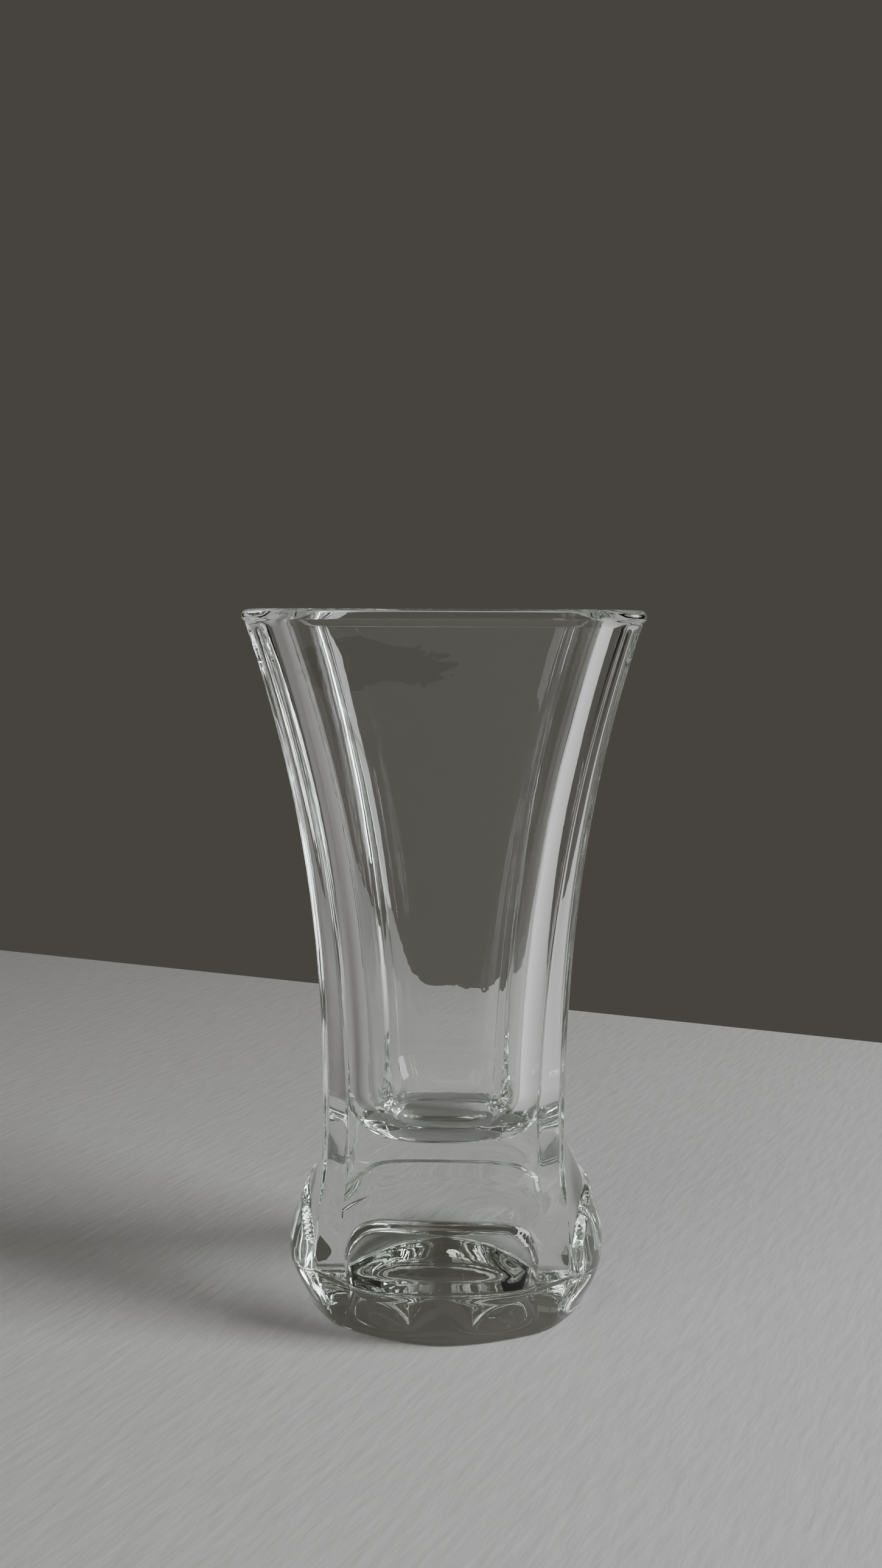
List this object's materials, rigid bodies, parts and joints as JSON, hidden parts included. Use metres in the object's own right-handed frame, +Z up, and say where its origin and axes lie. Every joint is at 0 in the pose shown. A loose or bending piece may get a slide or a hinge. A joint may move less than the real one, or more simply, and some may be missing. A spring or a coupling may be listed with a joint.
{
  "type": "glass bud vase",
  "caption": "Square flared vase of clear pressed glass, with grooved corner pillars, a heavy lobed solid foot and a plain rim band.",
  "frame": {"origin": "centre of the resting face, on the surface that the vase stands on", "axes": "+Z up along the vase's axis, with the four flat sides square to X and Y"},
  "size_m": [0.095, 0.095, 0.18],
  "materials": {
    "clear_glass": "fire-polished pressed glass, clear"
  },
  "bodies": {
    "root": {"rim": "clear_glass", "body": "clear_glass", "foot": "clear_glass"}
  },
  "joints": []
}
